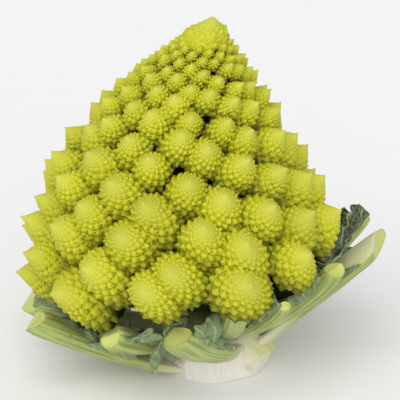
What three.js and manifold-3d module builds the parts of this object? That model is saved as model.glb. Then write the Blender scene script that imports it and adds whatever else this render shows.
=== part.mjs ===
// A romanesco head, as cut from the field: the pointed curd, its short thick stem with a flat cut face,
// and the trimmed leaves round it. Millimetres, +Z up, the origin at the centre of the stem's cut face.
// Azimuths are in degrees from the front (-Y) towards the right (+X). Reach is the distance from the Z axis.

import * as THREE from "three";
import { mergeVertices } from "three/addons/utils/BufferGeometryUtils.js";
import { ConvexHull } from "three/addons/math/ConvexHull.js";
import Module from "manifold-3d";

// The surface through the floret tips: a blunt cone at the apex that grows steeper all the way down.
const APEX_HEIGHT = 179;
const FULL_REACH = 118.5;
const REACH_DROP = 90;
const CURD_BOW = -15.5;

// The florets: one to each golden-angle turn, growing with their distance from the apex.
const GOLDEN_ANGLE = 137.508;
const FIRST_AZIMUTH = 340;
const SIZE_PER_SLANT = 0.28;
const LARGEST_FLORET = 29;
const SIZE_SHARPNESS = 4;
const HEX_PACKING = 0.87;
const FIRST_FLORET_SLANT = 10;
const LOWEST_FLORET = { height: 66, rise: 11 };

// The rings of buds on a floret, as shares of its size: distance from its axis, drop below its tip.
const BUD_RINGS = [
  { upTo: 8, sides: 5, rings: [[0.46, 0.45]] },
  { upTo: 17, sides: 6, rings: [[0.28, 0.22], [0.47, 0.78]] },
  { upTo: 99, sides: 6, rings: [[0.25, 0.21], [0.41, 0.48], [0.475, 0.98]] },
];

// The underside of the curd: rings of stalks that gather into its flat foot on the stem. Lift is their
// height over the tips of the lowest florets, and ribs how far the stalks stand out of it.
const STALKS = 13;
const RIM = { below: 11, depth: 25, ribs: 2 };
const UNDERSIDE_RINGS = [
  { reach: 51, lift: -4, ribs: 3 },
  { reach: 31, lift: -15, ribs: 1.6 },
  { reach: 20, lift: null, ribs: 0 },
];
const CURD_FOOT_HEIGHT = 34;

// The stem: the outline of its flat cut face, and its swell and neck as shares of that.
const STEM_CUT = { width: 55, depth: 49 };
const STEM_RINGS = [
  [1.0, 0],
  [1.05, 4],
  [1.02, 10],
  [0.9, 17],
  [0.78, 25],
  [0.74, 33.6],
];
const STEM_SIDES = 26;
const STEM_HACKS = 0.035;

// The leaves, from the front round to the right, each cut back to a stub of its thick midrib (the petiole).
// Blades are what is left of the leaf beside it: side 1 is clockwise seen from above.
const LEAVES = [
  {
    name: "leaf_front",
    azimuth: -15,
    root: { reach: 19, height: 19, aside: 12 },
    bow: { reach: 46, height: 26, aside: 7 },
    tip: { reach: 68, height: 44 },
    width: [30, 17],
    depth: [11, 13],
    cut: [-0.5, 0.3],
    blades: [
      { side: -1, from: 0.4, to: 0.85, width: 16, lift: 15, curl: -60, ruffle: 2 },
      { side: 1, from: 0.5, to: 0.95, width: 15, lift: 40, curl: 35, ruffle: 1.5 },
    ],
  },
  {
    name: "leaf_front_inner",
    azimuth: 11,
    root: { reach: 17, height: 29 },
    bow: { reach: 56, height: 34 },
    tip: { reach: 62, height: 66 },
    width: [17, 10],
    depth: [9, 7],
    cut: [-0.35, 0],
    blades: [
      { side: -1, from: 0.55, to: 0.98, width: 8, lift: 30, curl: 60, ruffle: 1.6 },
      { side: 1, from: 0.5, to: 0.98, width: 10, lift: 30, curl: 50, ruffle: 1.6 },
    ],
  },
  {
    name: "leaf_front_right",
    azimuth: 31,
    root: { reach: 18, height: 26 },
    bow: { reach: 46, height: 34 },
    tip: { reach: 65, height: 55 },
    width: [15, 6],
    depth: [8, 5],
    cut: [0, 0.4],
    blades: [
      { side: -1, from: 0.5, to: 1, width: 13, lift: 35, curl: 40, ruffle: 2.2 },
      { side: 1, from: 0.5, to: 0.95, width: 9, lift: 20, curl: 20, ruffle: 1.5 },
    ],
  },
  {
    name: "leaf_right_inner",
    azimuth: 65,
    root: { reach: 18, height: 24 },
    bow: { reach: 48, height: 37 },
    tip: { reach: 64, height: 62 },
    width: [17, 13],
    depth: [8, 10],
    cut: [-0.3, 0.2],
    blades: [
      { side: -1, from: 0.5, to: 0.9, width: 15, lift: 10, curl: 100, ruffle: 1 },
      { side: 1, from: 0.6, to: 0.98, width: 8, lift: 55, curl: 20, ruffle: 1.2 },
    ],
  },
  {
    name: "leaf_right",
    azimuth: 91,
    root: { reach: 17, height: 15, aside: -4 },
    bow: { reach: 50, height: 39 },
    tip: { reach: 82, height: 65 },
    width: [38, 20],
    depth: [11, 9],
    cut: [0.45, 0.5],
    blades: [{ side: -1, from: 0.12, to: 0.55, width: 9, lift: 50, curl: 15, ruffle: 0.8 }],
  },
  {
    name: "leaf_back_right",
    azimuth: 118,
    root: { reach: 18, height: 21 },
    bow: { reach: 53, height: 33 },
    tip: { reach: 87, height: 66 },
    width: [24, 14],
    depth: [9, 8],
    cut: [0.2, -0.2],
    blades: [
      { side: -1, from: 0.55, to: 1, width: 19, lift: 45, curl: 40, ruffle: 2.4 },
      { side: 1, from: 0.5, to: 0.95, width: 12, lift: 30, curl: 30, ruffle: 2 },
    ],
  },
  {
    name: "leaf_back_a",
    azimuth: 148,
    root: { reach: 18, height: 10 },
    bow: { reach: 48, height: 20 },
    tip: { reach: 80, height: 46 },
    width: [33, 19],
    depth: [10, 10],
    cut: [0.2, 0.4],
    blades: [{ side: 1, from: 0.4, to: 0.9, width: 13, lift: 20, curl: 50, ruffle: 1.8 }],
  },
  {
    name: "leaf_back_b",
    azimuth: 176,
    root: { reach: 18, height: 22 },
    bow: { reach: 50, height: 31 },
    tip: { reach: 73, height: 55 },
    width: [19, 14],
    depth: [9, 10],
    cut: [-0.2, -0.3],
    blades: [
      { side: -1, from: 0.5, to: 0.95, width: 12, lift: 30, curl: 45, ruffle: 2 },
      { side: 1, from: 0.45, to: 0.9, width: 14, lift: 15, curl: 30, ruffle: 1.8 },
    ],
  },
  {
    name: "leaf_back_c",
    azimuth: -155,
    root: { reach: 18, height: 9 },
    bow: { reach: 48, height: 17 },
    tip: { reach: 82, height: 40 },
    width: [33, 20],
    depth: [10, 10],
    cut: [0.3, -0.3],
    blades: [{ side: -1, from: 0.45, to: 0.9, width: 12, lift: 25, curl: 40, ruffle: 1.8 }],
  },
  {
    name: "leaf_back_left",
    azimuth: -126,
    root: { reach: 18, height: 22 },
    bow: { reach: 50, height: 28 },
    tip: { reach: 78, height: 48 },
    width: [20, 14],
    depth: [9, 9],
    cut: [0, 0.3],
    blades: [
      { side: -1, from: 0.5, to: 0.95, width: 13, lift: 25, curl: 45, ruffle: 2 },
      { side: 1, from: 0.5, to: 0.85, width: 11, lift: 20, curl: 30, ruffle: 1.5 },
    ],
  },
  {
    name: "leaf_left",
    azimuth: -97,
    root: { reach: 18, height: 19 },
    bow: { reach: 54, height: 20 },
    tip: { reach: 93, height: 30 },
    width: [26, 18],
    depth: [9, 11],
    cut: [0.35, -0.4],
    blades: [{ side: 1, from: 0.68, to: 0.93, width: 16, lift: 65, curl: -20, ruffle: 1.2 }],
  },
  {
    name: "leaf_left_front",
    azimuth: -69,
    root: { reach: 17, height: 4 },
    bow: { reach: 50, height: 14 },
    tip: { reach: 92, height: 38 },
    width: [38, 24],
    depth: [9, 11],
    cut: [0.5, 0.3],
    blades: [{ side: -1, from: 0.45, to: 0.75, width: 10, lift: 60, curl: 50, ruffle: 1.2 }],
  },
  {
    name: "leaf_front_left",
    azimuth: -42,
    root: { reach: 18, height: 23 },
    bow: { reach: 46, height: 24 },
    tip: { reach: 72, height: 39 },
    width: [18, 14],
    depth: [8, 13],
    cut: [-0.35, 0.25],
    blades: [
      { side: -1, from: 0.6, to: 0.9, width: 11, lift: 10, curl: -20, ruffle: 1.4 },
      { side: 1, from: 0.6, to: 0.95, width: 15, lift: 20, curl: 10, ruffle: 2.2 },
    ],
  },
];
const PETIOLE_SIDES = 8;
const PETIOLE_STEPS = 5;
const BLADE_THICKNESS = 1.4;
const BLADE_GRID = [6, 2];
const BLADE_WAVES = 2.5;
const JOINT_GAP = 0.35;

const radians = THREE.MathUtils.degToRad;
const lerp = THREE.MathUtils.lerp;
const wasm = await Module();
wasm.setup();

function toSolid(geometry) {
  geometry.deleteAttribute("normal");
  geometry.deleteAttribute("uv");
  const merged = mergeVertices(geometry, 1e-4);
  return new wasm.Manifold(
    new wasm.Mesh({
      numProp: 3,
      vertProperties: merged.attributes.position.array,
      triVerts: new Uint32Array(merged.index.array),
    }),
  );
}

function toGeometry(solid) {
  const mesh = solid.getMesh();
  const geometry = new THREE.BufferGeometry();
  geometry.setAttribute("position", new THREE.BufferAttribute(new Float32Array(mesh.vertProperties), 3));
  geometry.setIndex(new THREE.BufferAttribute(new Uint32Array(mesh.triVerts), 1));
  geometry.computeVertexNormals();
  return geometry;
}

function geometryOf(points, faces) {
  const geometry = new THREE.BufferGeometry();
  const corners = points.flatMap((p) => [p.x, p.y, p.z]);
  geometry.setAttribute("position", new THREE.Float32BufferAttribute(corners, 3));
  geometry.setIndex(faces);
  return geometry;
}

function largestBody(solid) {
  return solid.decompose().reduce((a, b) => (b.volume() > a.volume() ? b : a));
}

// A direction away from the Z axis at an azimuth.
function outward(azimuth, elevation = 0) {
  const flat = Math.cos(elevation);
  return new THREE.Vector3(flat * Math.sin(azimuth), -flat * Math.cos(azimuth), Math.sin(elevation));
}

// The curd

// The tip surface at a drop below the apex: its reach and the elevation of its outward normal.
function tipSurface(drop) {
  const left = Math.exp(-drop / REACH_DROP);
  return { drop, reach: FULL_REACH * (1 - left), elevation: Math.atan((FULL_REACH * left) / REACH_DROP) };
}

function floretSize(slant) {
  const growing = (SIZE_PER_SLANT * slant) ** -SIZE_SHARPNESS;
  return (growing + LARGEST_FLORET ** -SIZE_SHARPNESS) ** (-1 / SIZE_SHARPNESS);
}

// Samples of the tip surface from the apex down. Spread is the logarithm of the radius that the
// surface has when it is flattened without changing its angles, and count is how many florets lie above.
function walkDown() {
  const step = 0.25;
  const samples = [];
  let slant = 0;
  let spread = 0;
  let count = 0;
  let before = tipSurface(0);
  for (let drop = step; drop < APEX_HEIGHT; drop += step) {
    const here = tipSurface(drop);
    const advance = Math.hypot(step, here.reach - before.reach);
    slant += advance;
    spread += advance / Math.max(here.reach, step);
    const size = floretSize(slant);
    const held = (2 * Math.PI * here.reach * advance) / (HEX_PACKING * size * size);
    if (slant > FIRST_FLORET_SLANT) count += held;
    samples.push({ ...here, slant, spread, count, size });
    before = here;
  }
  return samples;
}

const walk = walkDown();

function onWalk(key, value) {
  const next = walk.findIndex((sample) => sample[key] >= value);
  if (next < 1) return walk[next === 0 ? 0 : walk.length - 1];
  const [a, b] = [walk[next - 1], walk[next]];
  const share = (value - a[key]) / (b[key] - a[key]);
  return Object.fromEntries(Object.keys(a).map((k) => [k, lerp(a[k], b[k], share)]));
}

// A surface vertex, and where it lies on the unit sphere that the surface is flattened to.
function surfaceVertex(place, azimuth, depth) {
  const tip = outward(azimuth).multiplyScalar(place.reach);
  tip.z = APEX_HEIGHT - place.drop;
  const point = tip.addScaledVector(outward(azimuth, place.elevation), -depth);
  return { point, azimuth, spread: place.spread };
}

function lowestHeight(azimuth) {
  return LOWEST_FLORET.height + LOWEST_FLORET.rise * Math.sin(azimuth);
}

function floretVertices(place, azimuth) {
  const { sides, rings } = BUD_RINGS.find((kind) => place.size <= kind.upTo);
  const vertices = [surfaceVertex(place, azimuth, 0)];
  rings.forEach(([share, drop], ring) => {
    for (let i = 0; i < sides; i++) {
      const turn = (2 * Math.PI * (i + 0.5 * ring + 0.15)) / sides;
      const there = onWalk("slant", place.slant + share * place.size * Math.cos(turn));
      const aside = (share * place.size * Math.sin(turn)) / place.reach;
      vertices.push(surfaceVertex(there, azimuth + aside, drop * place.size));
    }
  });
  return vertices;
}

// The underside: a rim under the roots of the lowest florets, and ribs from it into the round foot.
function undersideVertices() {
  const vertices = [];
  const end = walk[walk.length - 1].spread;
  for (let i = 0; i < 4 * STALKS; i++) {
    const azimuth = (Math.PI * i) / (2 * STALKS);
    const place = onWalk("drop", APEX_HEIGHT - lowestHeight(azimuth) + RIM.below);
    vertices.push(surfaceVertex(place, azimuth, RIM.depth + (i % 2 ? RIM.ribs : -RIM.ribs)));
  }
  UNDERSIDE_RINGS.forEach(({ reach, lift, ribs }, ring) => {
    for (let i = 0; i < 2 * STALKS; i++) {
      const azimuth = (Math.PI * (i + 0.5 * ring)) / STALKS;
      const point = outward(azimuth).multiplyScalar(reach);
      point.z = lift === null ? CURD_FOOT_HEIGHT : lowestHeight(azimuth) + lift + (i % 2 ? ribs : -ribs);
      vertices.push({ point, azimuth, spread: end + 0.35 * (ring + 1) });
    }
  });
  vertices.push({ point: new THREE.Vector3(0, 0, CURD_FOOT_HEIGHT), azimuth: 0, spread: end + 4 });
  return vertices;
}

// The curd bows to the left between its foot on the stem and its apex.
function bowed(point) {
  const share = Math.max(0, (point.z - CURD_FOOT_HEIGHT) / (APEX_HEIGHT - CURD_FOOT_HEIGHT));
  point.x += CURD_BOW * 4 * share * (1 - share);
  return point;
}

// All vertices are joined by the hull of their places on the sphere, which is their Delaunay mesh.
function curdGeometry() {
  const vertices = [surfaceVertex(walk[0], 0, 0)];
  const total = Math.floor(walk[walk.length - 1].count);
  for (let n = 0; n < total; n++) {
    const place = onWalk("count", n + 0.5);
    const azimuth = radians(FIRST_AZIMUTH + GOLDEN_ANGLE * n);
    if (APEX_HEIGHT - place.drop < lowestHeight(azimuth)) continue;
    vertices.push(...floretVertices(place, azimuth));
  }
  vertices.push(...undersideVertices());
  const equator = onWalk("slant", 60).spread;
  const onSphere = vertices.map(({ azimuth, spread }, index) => {
    const radius = Math.exp(spread - equator);
    const place = outward(azimuth).multiplyScalar((2 * radius) / (1 + radius * radius));
    place.z = (1 - radius * radius) / (1 + radius * radius);
    place.index = index;
    return place;
  });
  const faces = [];
  for (const face of new ConvexHull().setFromPoints(onSphere).faces) {
    let edge = face.edge;
    do {
      faces.push(edge.head().point.index);
      edge = edge.next;
    } while (edge !== face.edge);
  }
  return geometryOf(vertices.map(({ point }) => bowed(point)), faces);
}

// The stem

function stemGeometry(grow = 0) {
  const top = STEM_RINGS[STEM_RINGS.length - 1][1];
  const points = [new THREE.Vector3(0, 0, -grow)];
  for (const [share, height] of STEM_RINGS) {
    for (let i = 0; i < STEM_SIDES; i++) {
      const azimuth = (2 * Math.PI * i) / STEM_SIDES;
      const hacked = share * (1 + STEM_HACKS * (Math.cos(3 * azimuth + 1) + 0.6 * Math.cos(7 * azimuth)));
      const end = height === 0 ? -grow : height === top ? grow : 0;
      const x = Math.sin(azimuth) * (hacked * STEM_CUT.width / 2 + grow);
      const y = -Math.cos(azimuth) * (hacked * STEM_CUT.depth / 2 + grow);
      points.push(new THREE.Vector3(x, y, height + end));
    }
  }
  points.push(new THREE.Vector3(0, 0, top + grow));
  const faces = [];
  const last = points.length - 1;
  for (let i = 0; i < STEM_SIDES; i++) {
    const next = (i + 1) % STEM_SIDES;
    faces.push(0, 1 + next, 1 + i, last, last - STEM_SIDES + i, last - STEM_SIDES + next);
    for (let ring = 1; ring < STEM_RINGS.length; ring++) {
      const upper = 1 + ring * STEM_SIDES;
      const lower = upper - STEM_SIDES;
      faces.push(lower + i, lower + next, upper + i, upper + i, lower + next, upper + next);
    }
  }
  return geometryOf(points, faces);
}

// The leaves

function petiolePath({ azimuth, root, bow, tip }) {
  const out = outward(radians(azimuth));
  const side = outward(radians(azimuth + 90));
  const at = ({ reach, height, aside = 0 }) =>
    out.clone().multiplyScalar(reach).addScaledVector(side, aside).setZ(height);
  return new THREE.QuadraticBezierCurve3(at(root), at(bow), at(tip));
}

// The petiole's own directions at a share of its length: along, aside and up towards the curd.
function petioleFrame(leaf, share) {
  const path = petiolePath(leaf);
  const along = path.getTangent(share);
  const aside = outward(radians(leaf.azimuth + 90));
  return {
    centre: path.getPoint(share),
    along,
    aside,
    up: new THREE.Vector3().crossVectors(along, aside),
    width: lerp(leaf.width[0], leaf.width[1], Math.sqrt(share)),
    depth: lerp(leaf.depth[0], leaf.depth[1], share),
  };
}

// The petiole is round below and hollowed a little above, and its end is a slanting knife cut.
function petioleGeometry(leaf, grow = 0) {
  const points = [];
  const faces = [];
  for (let step = 0; step <= PETIOLE_STEPS; step++) {
    const share = step / PETIOLE_STEPS;
    const { centre, along, aside, up, width, depth } = petioleFrame(leaf, share);
    const slant = share ** 4;
    for (let i = 0; i < PETIOLE_SIDES; i++) {
      const turn = (2 * Math.PI * i) / PETIOLE_SIDES;
      const across = (width / 2 + grow) * Math.cos(turn);
      const hollow = 0.2 * depth * Math.sin(turn) ** 2;
      const tall = Math.sin(turn) < 0 ? 0.62 * depth : 0.38 * depth;
      const high = (tall + grow) * Math.sin(turn) - (Math.sin(turn) > 0 ? hollow : 0);
      const end = slant * (leaf.cut[0] * high + leaf.cut[1] * across + grow);
      const corner = centre.clone().addScaledVector(aside, across).addScaledVector(up, high);
      points.push(corner.addScaledVector(along, end));
    }
  }
  for (let step = 0; step < PETIOLE_STEPS; step++) {
    for (let i = 0; i < PETIOLE_SIDES; i++) {
      const next = (i + 1) % PETIOLE_SIDES;
      const [a, b] = [step * PETIOLE_SIDES, (step + 1) * PETIOLE_SIDES];
      faces.push(a + i, a + next, b + i, a + next, b + next, b + i);
    }
  }
  const last = PETIOLE_STEPS * PETIOLE_SIDES;
  for (let i = 1; i < PETIOLE_SIDES - 1; i++) {
    faces.push(0, i + 1, i, last, last + i, last + i + 1);
  }
  return geometryOf(points, faces);
}

// A blade's middle surface: u runs along the petiole and v out from it, with a torn and waved edge.
function bladePoint(leaf, blade, u, v) {
  const { centre, aside, up, width } = petioleFrame(leaf, lerp(blade.from, blade.to, u));
  const torn = Math.sin(Math.PI * (0.12 + 0.8 * u)) ** 0.7 * (1 + 0.16 * Math.sin(9 * u + leaf.azimuth));
  const reach = v * blade.width * torn;
  const lift = radians(blade.lift + blade.curl * v);
  const wave = blade.ruffle * v * Math.sin(2 * Math.PI * BLADE_WAVES * u + leaf.azimuth);
  return centre
    .addScaledVector(aside, blade.side * (0.36 * width + reach * Math.cos(lift)))
    .addScaledVector(up, reach * Math.sin(lift))
    .addScaledVector(up, wave * Math.cos(lift))
    .addScaledVector(aside, -blade.side * wave * Math.sin(lift));
}

function bladeGeometry(leaf, blade, grow = 0) {
  const [along, across] = BLADE_GRID;
  const half = BLADE_THICKNESS / 2 + grow;
  const [upper, lower, faces] = [[], [], []];
  for (let i = 0; i <= along; i++) {
    for (let j = 0; j <= across; j++) {
      const [u, v] = [i / along, j / across];
      const here = bladePoint(leaf, blade, u, v);
      const du = bladePoint(leaf, blade, u + 0.02, v).sub(bladePoint(leaf, blade, u - 0.02, v)).normalize();
      const dv = bladePoint(leaf, blade, u, v + 0.05).sub(bladePoint(leaf, blade, u, v - 0.05)).normalize();
      const normal = du.clone().cross(dv).normalize().multiplyScalar(-blade.side);
      here.addScaledVector(du, i === 0 ? -grow : i === along ? grow : 0);
      here.addScaledVector(dv, j === across ? grow : 0);
      upper.push(here.clone().addScaledVector(normal, half));
      lower.push(here.addScaledVector(normal, -half));
    }
  }
  const row = across + 1;
  const below = upper.length;
  const add = (a, b, c) => (blade.side > 0 ? faces.push(a, b, c) : faces.push(a, c, b));
  for (let i = 0; i < along; i++) {
    for (let j = 0; j < across; j++) {
      const a = i * row + j;
      add(a, a + row + 1, a + row);
      add(a, a + 1, a + row + 1);
      add(below + a, below + a + row, below + a + row + 1);
      add(below + a, below + a + row + 1, below + a + 1);
    }
    for (const [a, flip] of [[i * row, 1], [i * row + across, 0]]) {
      const [p, q] = flip ? [a, a + row] : [a + row, a];
      add(p, q, below + q);
      add(p, below + q, below + p);
    }
  }
  for (let j = 0; j < across; j++) {
    for (const [a, flip] of [[j, 0], [along * row + j, 1]]) {
      const [p, q] = flip ? [a, a + 1] : [a + 1, a];
      add(p, q, below + q);
      add(p, below + q, below + p);
    }
  }
  return geometryOf([...upper, ...lower], faces);
}

function leafSolid(leaf, grow = 0) {
  const scraps = leaf.blades.map((blade) => bladeGeometry(leaf, blade, grow));
  return wasm.Manifold.union([petioleGeometry(leaf, grow), ...scraps].map(toSolid));
}

// The whole head

const group = new THREE.Group();

function addMesh(name, solid, color, roughness) {
  const material = new THREE.MeshStandardMaterial({ color, roughness, metalness: 0 });
  const mesh = new THREE.Mesh(toGeometry(solid), material);
  mesh.name = name;
  group.add(mesh);
}

const stem = toSolid(stemGeometry());
addMesh("stem", stem, 0xddd8c4, 0.5);

const ground = toSolid(new THREE.BoxGeometry(400, 400, 100).translate(0, 0, -49.6));
let taken = toSolid(stemGeometry(JOINT_GAP)).add(ground);
for (const leaf of LEAVES) {
  const solid = largestBody(leafSolid(leaf).subtract(taken));
  addMesh(leaf.name, solid, 0xa9b860, 0.5);
  taken = taken.add(leafSolid(leaf, JOINT_GAP)).add(solid);
}

const curd = largestBody(toSolid(curdGeometry()).subtract(taken));
addMesh("curd", curd, 0xc6ca3e, 0.6);

export default group;
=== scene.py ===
# A fresh romanesco head that stands on its cut stem: the curd and its florets, the stalks under them,
# the stem, and the trimmed leaves round it. Sizes are in millimetres, +Z is up and -Y is the front.
# Azimuths are in degrees from the front towards the right, and reach is the distance from the Z axis.

import math

import bpy
import numpy as np
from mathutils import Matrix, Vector
from mathutils.geometry import delaunay_2d_cdt


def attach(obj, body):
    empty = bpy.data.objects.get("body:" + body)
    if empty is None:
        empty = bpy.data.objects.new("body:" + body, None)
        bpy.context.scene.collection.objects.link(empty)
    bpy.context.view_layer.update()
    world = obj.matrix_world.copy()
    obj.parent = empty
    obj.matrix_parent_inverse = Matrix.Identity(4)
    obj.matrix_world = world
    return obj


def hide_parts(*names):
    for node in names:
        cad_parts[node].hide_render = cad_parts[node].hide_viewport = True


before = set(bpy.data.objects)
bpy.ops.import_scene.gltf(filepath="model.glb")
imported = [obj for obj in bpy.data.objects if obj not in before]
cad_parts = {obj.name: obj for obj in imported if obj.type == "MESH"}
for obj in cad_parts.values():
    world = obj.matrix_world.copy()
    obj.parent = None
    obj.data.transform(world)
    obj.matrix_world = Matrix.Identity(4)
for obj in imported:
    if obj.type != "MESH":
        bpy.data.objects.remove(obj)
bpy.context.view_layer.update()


# The camera.
# A long lens a metre away, looking 20 degrees down at the middle of the head, which fills its picture
# from the apex to the cut face of the stem.

MILLIMETRE = 0.001
VIEW_TARGET = (-6.3, -1.3, 87.2)
VIEW_DISTANCE = 1000
VIEW_TILT = 20
VIEW_WIDTH = 194
SENSOR_WIDTH = 36

tilt = math.radians(VIEW_TILT)
towards_camera = Vector((0, -math.cos(tilt), math.sin(tilt)))
lens = bpy.data.cameras.new("camera")
lens.sensor_width = SENSOR_WIDTH
lens.lens = SENSOR_WIDTH * VIEW_DISTANCE / VIEW_WIDTH
camera = bpy.data.objects.new("camera", lens)
camera.location = (Vector(VIEW_TARGET) + towards_camera * VIEW_DISTANCE) * MILLIMETRE
camera.rotation_euler = towards_camera.to_track_quat("Z", "Y").to_euler()
bpy.context.scene.collection.objects.link(camera)
bpy.context.scene.camera = camera


# The florets of the curd.
# The real ones are flower buds that never opened: each floret is a cone of smaller cones, one to each
# golden-angle turn, and grows from the curd as one piece with its neighbours. They are crisp, waxy tissue.

# The outline of the curd widens with the drop below its apex, and the florets grow with the slant, the
# length of the way down from the apex along the outline.
APEX_HEIGHT = 179
OUTLINE_STEP = 0.25
FULL_REACH = 118.5
REACH_DROP = 90
CURD_BOW = -15.5
CURD_FOOT_HEIGHT = 34
GOLDEN_ANGLE = math.radians(137.508)
FIRST_AZIMUTH = math.radians(340)
SIZE_PER_SLANT = 0.28
LARGEST_FLORET = 29
SIZE_SHARPNESS = 4
HEX_PACKING = 0.87
FIRST_FLORET_SLANT = 10
LOWEST_FLORET_HEIGHT = 66
LOWEST_FLORET_RISE = 11

# Everything about one floret is a share of its size. Small florets have fewer buds, each a larger share.
# A kind is for florets of up to a size, and its own size in millimetres decides the form of its buds.
FLORET_REACH = 0.62
FLORET_REACH_DROP = 0.52
FLORET_LENGTH = 1.16
FLORET_STEPS = 300
FLORET_WAIST = {"from": 0.76, "over": 0.4, "share": 0.42}
BUDDED_LENGTH = 0.93
TIP_RISE = 0.03
FLORET_KINDS = [
    {"up_to": 5, "size": 4, "first_bud": 0.14, "bud_growth": 0.44, "largest_bud": 0.38},
    {"up_to": 9, "size": 7, "first_bud": 0.13, "bud_growth": 0.39, "largest_bud": 0.31},
    {"up_to": 14, "size": 12, "first_bud": 0.11, "bud_growth": 0.36, "largest_bud": 0.27},
    {"up_to": 20, "size": 18, "first_bud": 0.09, "bud_growth": 0.33, "largest_bud": 0.225},
    {"up_to": 99, "size": 27, "first_bud": 0.08, "bud_growth": 0.3, "largest_bud": 0.19},
]
VARIANTS = 5
BUD_SCATTER = 0.07
BUD_SIZES = (0.92, 1.06)
BUD_HEIGHTS = (0.8, 1.2)
BUD_STANDING = {"from": 0.05, "over": 0.55, "least": 0.3, "more": 0.62}
ANY_TURN = 6.28

# No floret stands quite true: how far it leans, is stretched each way, and differs in size and place.
FLORET_LEAN = 0.07
FLORET_ROOT = 0.8
FLORET_STRETCH = (0.04, 0.04, 0.05)
FLORET_SIZES = (0.96, 1.19)
FLORET_SCATTER = 0.08

# The florets are made as several pieces: one is closed once it holds more than this many triangles.
MOST_TRIANGLES = 150000

# A bud is its tip and the rings round it. Each ring is a share of the bud's size out from its axis and
# a height, with how far it leans towards the floret's tip and how near the bud's own tip it counts.
# Buds over 1.9 mm across have three rings, and smaller ones two or one. A bud that hardly stands yet
# counts as equally near its tip all over, and so takes none of the painted shade where buds part.
BUD_TIP = {"height": 0.46, "lean": 0.25, "near": 1.0}
BUD_FORMS = [
    {"over": 0.0, "up_to": 0.9, "rings": [
        {"share": 0.44, "sides": 5, "height": -0.12, "lean": 0.03, "near": 0.22, "knob": 0.0},
    ]},
    {"over": 0.9, "up_to": 1.9, "rings": [
        {"share": 0.25, "sides": 5, "height": 0.25, "lean": 0.15, "near": 0.75, "knob": 0.0},
        {"share": 0.48, "sides": 6, "height": -0.17, "lean": 0.0, "near": 0.0, "knob": 0.0},
    ]},
    {"over": 1.9, "up_to": 99, "rings": [
        {"share": 0.19, "sides": 4, "height": 0.31, "lean": 0.19, "near": 0.85, "knob": 0.03},
        {"share": 0.38, "sides": 6, "height": 0.09, "lean": 0.09, "near": 0.55, "knob": 0.06},
        {"share": 0.51, "sides": 6, "height": -0.2, "lean": 0.0, "near": 0.0, "knob": 0.0},
    ]},
]
FLAT_BUD_NEARNESS = 0.7

# Above and below its buds a floret is closed with plain rings.
PLAIN_SIDES = 10
TIP_NEARNESS = 0.8
TIP_RING = {"share": 0.4, "near": 0.75}
CLOSING_SHARES = (0.6, 1.0)
MAP_MIDDLE = 0.3

# A floret leans up from straight out of the curd by a share of what it lacks of this elevation. The share
# fades out between these drops below the apex, so the lowest florets face straight out.
UPRIGHT = math.radians(48)
UPRIGHT_SHARE = 0.75
UPRIGHT_FADE = (70, 112)

# The crown is the smooth young tip of the curd, where the first florets are only just laid down as knobs.
# It ends in a skirt that is tucked in under the first florets.
CROWN_SLANT = 13
CROWN_SKIRT = 3
CROWN_TUCK = {"within": 0.5, "by": 3}
CROWN_BLUNTING = 0.9
CROWN_KNOBS = {"size": 0.29, "least_slant": 0.5, "first": 1.5, "from": 3, "over": 9, "least": 0.12}
# The crown counts as at least this near a bud's tip, and its skirt as no deeper than this, so that neither
# painted shade of the florets falls on it.
CROWN_NEARNESS = 0.45
CROWN_DEPTH = 0.3
CROWN_TONE = 0.6
CROWN_SEED = 5

FLORET_SEED = 7
random = np.random.default_rng(FLORET_SEED)


def surface_walk(drop, reach):
    """Arc length, outward normal and conformal spread along an outline that is turned round its axis."""
    slant = np.concatenate([[0], np.cumsum(np.hypot(np.diff(drop), np.diff(reach)))])
    d_reach = np.gradient(reach, slant)
    d_drop = np.gradient(drop, slant)
    length = np.hypot(d_reach, d_drop)
    step = np.diff(slant, prepend=0)
    spread = np.cumsum(step / np.maximum(reach, step[1]))
    return {
        "drop": drop,
        "reach": reach,
        "slant": slant,
        "spread": spread,
        "normal_out": d_drop / length,
        "normal_up": d_reach / length,
    }


def growing_size(slant, per_slant, largest):
    """Sizes that grow with the slant at first and then level off at the largest."""
    growing = (per_slant * np.maximum(slant, 1e-6)) ** -SIZE_SHARPNESS
    return (growing + largest**-SIZE_SHARPNESS) ** (-1 / SIZE_SHARPNESS)


def lattice(walk, size, first, last):
    """Slants of the places that fit between two slants, each holding one hexagonal cell of its size."""
    step = np.diff(walk["slant"], prepend=0)
    held = 2 * math.pi * walk["reach"] * step / (HEX_PACKING * size**2)
    held[(walk["slant"] < first) | (walk["slant"] > last)] = 0
    count = np.cumsum(held)
    places = np.arange(int(count[-1]))
    return np.interp(places + 0.5, count, walk["slant"])


def at_slant(walk, name, slant):
    """One value of an outline at some slant down it."""
    return np.interp(slant, walk["slant"], walk[name])


curd_drop = np.arange(0, APEX_HEIGHT, OUTLINE_STEP)
curd_walk = surface_walk(curd_drop, FULL_REACH * (1 - np.exp(-curd_drop / REACH_DROP)))
curd_sizes = growing_size(curd_walk["slant"], SIZE_PER_SLANT, LARGEST_FLORET)


def floret_walk():
    """The outline of a floret of size 1, drawn in again towards its root."""
    drop = np.linspace(0, FLORET_LENGTH, FLORET_STEPS)
    reach = FLORET_REACH * (1 - np.exp(-drop / FLORET_REACH_DROP))
    closing = np.clip((drop - FLORET_WAIST["from"]) / FLORET_WAIST["over"], 0, 1)
    return surface_walk(drop, reach * (1 - FLORET_WAIST["share"] * closing**2 * (3 - 2 * closing)))


def nearness(near, standing):
    return FLAT_BUD_NEARNESS + (near - FLAT_BUD_NEARNESS) * standing


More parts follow.
